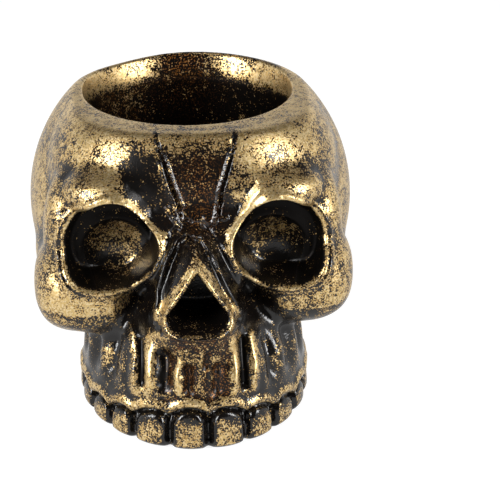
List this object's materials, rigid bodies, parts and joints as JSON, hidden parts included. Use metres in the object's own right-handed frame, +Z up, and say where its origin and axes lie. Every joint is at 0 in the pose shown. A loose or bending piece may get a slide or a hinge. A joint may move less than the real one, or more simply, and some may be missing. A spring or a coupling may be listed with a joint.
{
  "type": "skull candle holder",
  "caption": "Cast resin skull without a lower jaw, on a flat base, with a round cup for a tealight bored into the top of its head.",
  "frame": {"origin": "on the flat base, on the skull's middle plane, 4 mm in front of the cup's axis", "axes": "+Z up, the face looks along -Y, +X is the viewer's right when looking at the face"},
  "size_m": [0.0656, 0.079, 0.0575],
  "materials": {
    "aged_gold_resin": "gloss black resin with antique gold dry-brushed over it"
  },
  "bodies": {
    "root": {"skull_holder": "aged_gold_resin"}
  },
  "joints": []
}
